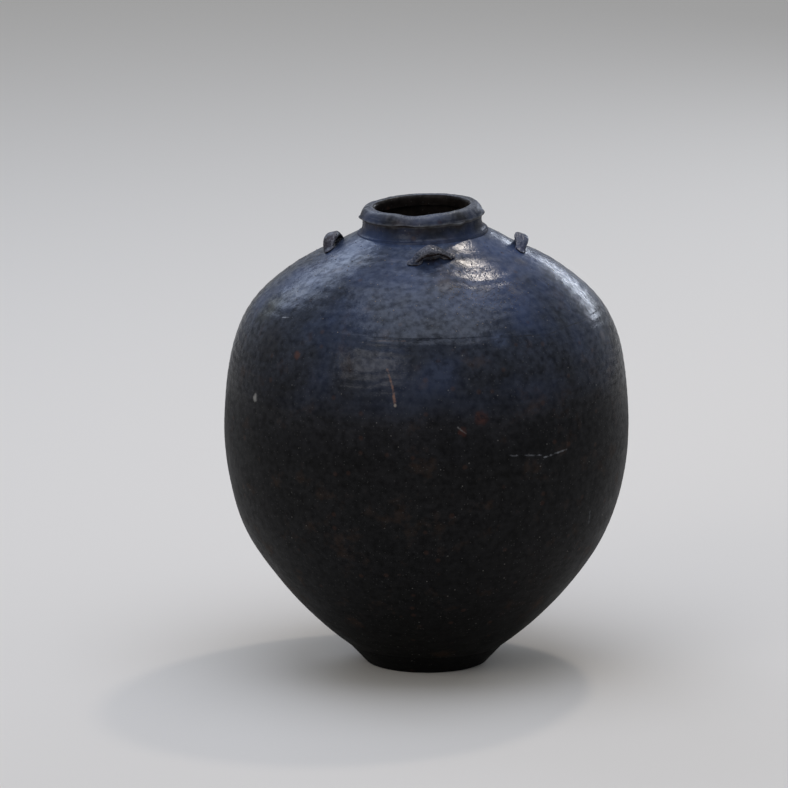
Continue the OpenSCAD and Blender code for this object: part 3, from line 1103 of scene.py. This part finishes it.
    def dress(self, piece: bpy.types.Object) -> None:
        """Hands the piece over in place of its CAD node."""
        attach(piece, "root")
        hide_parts(self.node)
        LOG.info("%s: %d vertices", piece.name, len(piece.data.vertices))


@dataclass
class KilnGrit:
    """Crumbs of kiln grit melted into the shoulder's glaze.

    Args:
        density: Crumbs for each square metre where they lie thickest.
        smallest: Least radius, in mm.
        largest: Greatest radius, in mm.
        seed: Seed of the scatter.
    """

    density: float = 40000.0
    smallest: float = 0.45
    largest: float = 1.15
    seed: int = 11

    def tree(self, finish: bpy.types.Material) -> bpy.types.NodeTree:
        """Builds the tree that scatters the crumbs.

        Args:
            finish: The material.

        Returns:
            The tree.
        """
        tree = bpy.data.node_groups.new("KilnGrit", "GeometryNodeTree")
        face = tree.interface
        face.new_socket("Geometry", in_out="INPUT", socket_type="NodeSocketGeometry")
        for name in ("Density", "Smallest", "Largest"):
            face.new_socket(name, in_out="INPUT", socket_type="NodeSocketFloat")
        face.new_socket("Geometry", in_out="OUTPUT", socket_type="NodeSocketGeometry")
        given = add(tree, "NodeGroupInput").node.outputs
        place = add(tree, "GeometryNodeInputPosition")
        # Thick in the patch on the front of the shoulder, thin elsewhere
        centre = on_wall(-65.0, 609, 193)
        gap = add(tree, "ShaderNodeVectorMath", {0: place, 1: centre}, "Value",
                  operation="DISTANCE")
        thick = add(tree, "ShaderNodeMapRange", {0: gap, 1: 0.030, 2: 0.075, 3: 1.0, 4: 0.035})
        height = add(tree, "ShaderNodeSeparateXYZ", {0: place}, "Z")
        high = add(tree, "ShaderNodeMapRange", {0: height, 1: 0.52, 2: 0.60})
        thick = add(tree, "ShaderNodeMath", {0: thick, 1: high}, operation="MULTIPLY")
        thick = add(tree, "ShaderNodeMath", {0: thick, 1: given["Density"]}, operation="MULTIPLY")
        up = add(tree, "ShaderNodeSeparateXYZ", {0: add(tree, "GeometryNodeInputNormal")}, "Z")
        outer = add(tree, "FunctionNodeCompare", {0: up, 1: 0.2}, data_type="FLOAT",
                    operation="GREATER_THAN")
        spots = add(tree, "GeometryNodeDistributePointsOnFaces",
                    {"Mesh": given["Geometry"], "Selection": outer, "Density": thick,
                     "Seed": self.seed})
        crumb = add(tree, "GeometryNodeMeshIcoSphere", {"Radius": 1.0, "Subdivisions": 1})
        size = add(tree, "FunctionNodeRandomValue", {2: given["Smallest"], 3: given["Largest"],
                                                     "Seed": 3}, 1, data_type="FLOAT")
        flat = add(tree, "ShaderNodeCombineXYZ", {0: size, 1: size, 2: size})
        turn = add(tree, "FunctionNodeRandomValue", {0: (0, 0, 0), 1: (6.0, 6.0, 6.0), "Seed": 5},
                   0, data_type="FLOAT_VECTOR")
        crumbs = add(tree, "GeometryNodeInstanceOnPoints", {
            "Points": spots, "Instance": crumb, "Scale": flat,
            "Rotation": add(tree, "FunctionNodeEulerToRotation", {0: turn})})
        crumbs = add(tree, "GeometryNodeRealizeInstances", {0: crumbs})
        crumbs = add(tree, "GeometryNodeSetShadeSmooth", {"Geometry": crumbs})
        crumbs = add(tree, "GeometryNodeSetMaterial", {"Geometry": crumbs, "Material": finish})
        add(tree, "NodeGroupOutput", {0: crumbs})
        return tree

    def build(self, shoulder: bpy.types.Object, finish: bpy.types.Material) -> bpy.types.Object:
        """Scatters the crumbs over the shoulder.

        Args:
            shoulder: The finished shoulder.
            finish: The material.

        Returns:
            The crumbs as one mesh.
        """
        piece = bpy.data.objects.new("kiln_grit", shoulder.data.copy())
        bpy.context.scene.collection.objects.link(piece)
        scatter = piece.modifiers.new("Grit", "NODES")
        scatter.node_group = self.tree(finish)
        values = {"Density": self.density, "Smallest": self.smallest * MM,
                  "Largest": self.largest * MM}
        for item in scatter.node_group.interface.items_tree:
            if item.in_out == "INPUT" and item.name in values:
                scatter[item.identifier] = values[item.name]
        baked(piece)
        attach(piece, "root")
        LOG.info("%s: %d vertices", piece.name, len(piece.data.vertices))
        return piece


# ---- Studio


@dataclass
class Studio:
    """Pale floor, soft lamps and the camera.

    Args:
        reach: Radius of the floor, in metres.
        elevation: Height of the camera's view, in degrees.
        distance: Distance of the camera, in metres.
    """

    reach: float = 60.0
    elevation: float = 12.4
    distance: float = 20.0

    def lamp(self, name: str, power: float, colour: str, size: tuple[float, float],
             direction: tuple[float, float], far: float) -> None:
        """Hangs a soft box and turns it to the jar.

        Args:
            name: Name of the lamp.
            power: Power in watts.
            colour: sRGB hex value.
            size: Width and height in metres.
            direction: Angle from the front towards +X, and height, in degrees.
            far: Distance in metres.
        """
        light = bpy.data.lights.new(name, "AREA")
        light.shape, light.size, light.size_y = "RECTANGLE", size[0], size[1]
        light.energy, light.color = power, linear(colour)[:3]
        lamp = bpy.data.objects.new(name, light)
        bpy.context.scene.collection.objects.link(lamp)
        turn, rise = (math.radians(v) for v in direction)
        way = Vector((math.sin(turn) * math.cos(rise), -math.cos(turn) * math.cos(rise),
                      math.sin(rise)))
        lamp.location = Vector((0, 0, 0.45)) + way * far
        lamp.rotation_euler = way.to_track_quat("Z", "Y").to_euler()

    def build(self) -> None:
        """Sets up the floor, the world, the lamps and the camera."""
        scene = bpy.context.scene
        scene.view_settings.view_transform = "Standard"
        world = bpy.data.worlds.new("Room")
        scene.world = world
        world.use_nodes = True
        world.node_tree.nodes.clear()
        sky = add(world.node_tree, "ShaderNodeBackground", {"Color": linear("#e6ebf2"),
                                                            "Strength": 0.42})
        add(world.node_tree, "ShaderNodeOutputWorld", {"Surface": sky})
        sheet = bpy.data.meshes.new("floor")
        rim = [(self.reach * math.cos(math.tau * k / 96), self.reach * math.sin(math.tau * k / 96),
                0.0) for k in range(96)]
        sheet.from_pydata(rim, [], [tuple(range(96))])
        floor = bpy.data.objects.new("floor", sheet)
        scene.collection.objects.link(floor)
        paint = bpy.data.materials.new("matte_floor_paint")
        paint.use_nodes = True
        paint.node_tree.nodes.clear()
        skin = add(paint.node_tree, "ShaderNodeBsdfPrincipled", {
            "Base Color": linear("#ebe5dc"), "Roughness": 0.9, "Specular IOR Level": 0.2})
        add(paint.node_tree, "ShaderNodeOutputMaterial", {"Surface": skin})
        sheet.materials.append(paint)
        self.lamp("top_box", 66, "#dfe9ff", (3.6, 3.6), (0, 84), 3.6)
        self.lamp("back_left_box", 30, "#d5e4ff", (2.6, 1.7), (-152, 36), 4.6)
        self.lamp("strip_box", 20, "#e6efff", (2.2, 0.36), (152, 14), 4.6)
        self.lamp("glint_lamp", 16, "#fff4e8", (0.26, 0.26), (155, 55), 3.6)
        self.lamp("front_fill", 34, "#fdf8f2", (3.0, 2.4), (-35, 28), 5.5)
        camera = bpy.data.cameras.new("camera")
        camera.lens, camera.sensor_width = 609.0, 36.0
        camera.clip_start, camera.clip_end = 0.5, 200.0
        eye = bpy.data.objects.new("camera", camera)
        scene.collection.objects.link(eye)
        tilt = math.radians(self.elevation)
        eye.location = (-0.0488, -self.distance * math.cos(tilt),
                        0.4093 + self.distance * math.sin(tilt))
        eye.rotation_euler = Euler((math.pi / 2 - tilt, 0, 0))
        scene.camera = eye


# ---- The jar


# Colours by height: near black low on the wall, and lighter blue-grey up the shoulder, partly ash
# and partly painted sky reflection
WALL_HEIGHTS_AND_SKY_SHEEN = ((0, "#090909"), (60, "#0c0c0c"), (200, "#0f0f10"), (360, "#131314"),
                (430, "#18181b"), (500, "#1d2029"), (560, "#1d2432"), (610, "#212a3d"),
                (640, "#2a3244"), (660, "#323b4d"))
FINISHES = {
    Slot.FOOT: Glaze("foot_thin_ash_glaze", WALL_HEIGHTS_AND_SKY_SHEEN, rust=0.2, marks=BODY_MARKS_AND_PAINTED_LIGHT),
    Slot.WALL: Glaze("wall_iron_ash_glaze", WALL_HEIGHTS_AND_SKY_SHEEN, marks=BODY_MARKS_AND_PAINTED_LIGHT),
    Slot.SHOULDER: Glaze("shoulder_iron_ash_glaze", WALL_HEIGHTS_AND_SKY_SHEEN, marks=BODY_MARKS_AND_PAINTED_LIGHT),
    # Lighter blue-grey at the neck's flared foot is painted light, the dark band under the rim and
    # the darkened faces that look down are painted shade, and the pale lip is wear
    Slot.MOUTH: Glaze("worn_lip_glaze_with_painted_light", ((0, "#191a1e"), (655, "#39435a"), (666, "#23262e"),
                                         (680, "#1b1a1b"), (690, "#232326"), (703, "#45464a")),
                      brown="#36271c", rust=0.95, matte=0.66, gloss=(0.1, 0.1, 0.34),
                      grain=0.9, under="#1f140e", worn="#7d7f83"),
    # The lug grows lighter towards its crown as painted light on its top, and its faces that look
    # down are darkened as painted shade
    Slot.LUG: Glaze("thumbed_lug_glaze_with_painted_light", ((0, "#22252c"), (630, "#22252c"), (648, "#2c2f37"),
                                          (660, "#43444a")),
                    brown="#4a3022", rust=0.9, matte=0.62, gloss=(0.1, 0.1, 0.5), grain=0.8,
                    under="#1f140e", worn="#77757a"),
}
# Crumbs of fired clay and sand from the kiln's roof, under a film of glaze
GRIT = Glaze("kiln_grit", ((0, "#77706a"), (560, "#77706a"), (660, "#7d7770")), brown="#5e4636",
             rust=0.8, matte=0.8, gloss=(0.0, 0.0, 0.2), grain=0.3)

# Dark brown on the inside, as painted shade inside the jar
INSIDE_PAINTED_SHADE = Glaze("inside_painted_shade_glaze", ((0, "#15110f"), (600, "#15110f"), (700, "#1b1613")),
               brown="#20150e", bloom_and_sky_sheen="#15120f", rust=0.6, matte=0.6, gloss=(0.0, 0.0, 0.15))

TURNED = (
    Base("base", Slot.FOOT),
    WallBand("heel_band", Slot.WALL, 1),
    WallBand("lower_band", Slot.WALL, 2),
    WallBand("belly_band", Slot.WALL, 3),
    WallBand("upper_band", Slot.WALL, 4),
    Shoulder("shoulder", Slot.SHOULDER),
    Neck("neck", Slot.MOUTH),
    Rim("rim", Slot.MOUTH),
)
LUGS = (
    Lug("lug_front", -87, 128, 13, 1.3),
    Lug("lug_right", 0, 140, 0, 2.9),
    Lug("lug_back", 85, 134, 4, 4.1),
    Lug("lug_left", 176, 140, -14, 5.7),
)


def main() -> None:
    """Builds the jar piece by piece, then the studio."""
    logging.basicConfig(level=logging.INFO, format="%(name)s: %(message)s")
    finishes = {slot: glaze.material() for slot, glaze in FINISHES.items()}
    wheel = Turning()
    made: dict[str, bpy.types.Object] = {}
    # Inner faces get the glaze that is darkened as painted shade
    inside = INSIDE_PAINTED_SHADE.material()
    for part in TURNED:
        made[part.node] = part.build(wheel, finishes[part.slot])
        around_mouth = isinstance(part, Collar)
        coat_inside(made[part.node], inside, NECK_SHIFT if around_mouth else HEART, around_mouth)
        part.dress(made[part.node])
    for lug in LUGS:
        lug.dress(lug.build(finishes[Slot.LUG]))
    KilnGrit().build(made["shoulder"], GRIT.material())
    Studio().build()


if __name__ == "__main__":
    main()
